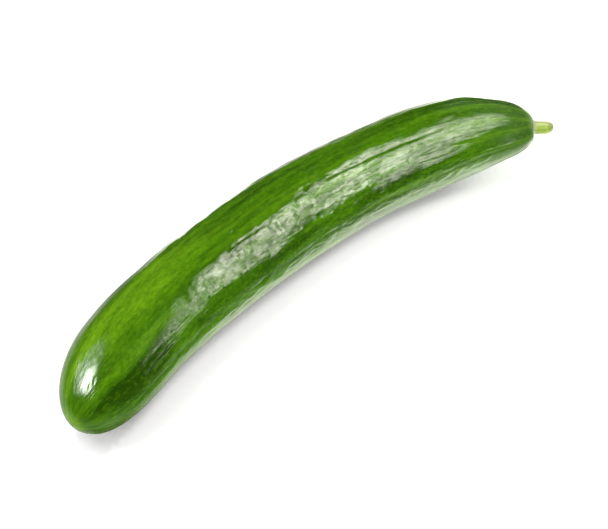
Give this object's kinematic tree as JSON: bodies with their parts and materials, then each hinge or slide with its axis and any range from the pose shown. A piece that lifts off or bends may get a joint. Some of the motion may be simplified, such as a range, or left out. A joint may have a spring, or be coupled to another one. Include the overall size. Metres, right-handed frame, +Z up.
{
  "type": "cucumber",
  "caption": "Long smooth-skinned greenhouse cucumber, gently bent and softly ribbed, with a rounded blossom end and a stub of its cut stem, lying on its side.",
  "frame": {"origin": "middle of the footprint, on the flat surface the cucumber lies on", "axes": "+Z up from the surface, +X along the cucumber's length towards the stem end, +Y towards the outside of its bend"},
  "size_m": [0.2968, 0.0718, 0.0482],
  "materials": {
    "cucumber_skin": "thin natural wax on a smooth green skin, glossy along the ribs, with paler yellow-green streaks towards the blossom end",
    "cut_stem": "moist pale yellow-green stalk, slightly translucent, darker round its slanted cut"
  },
  "bodies": {
    "root": {"fruit": "cucumber_skin", "stem": "cut_stem"}
  },
  "joints": []
}
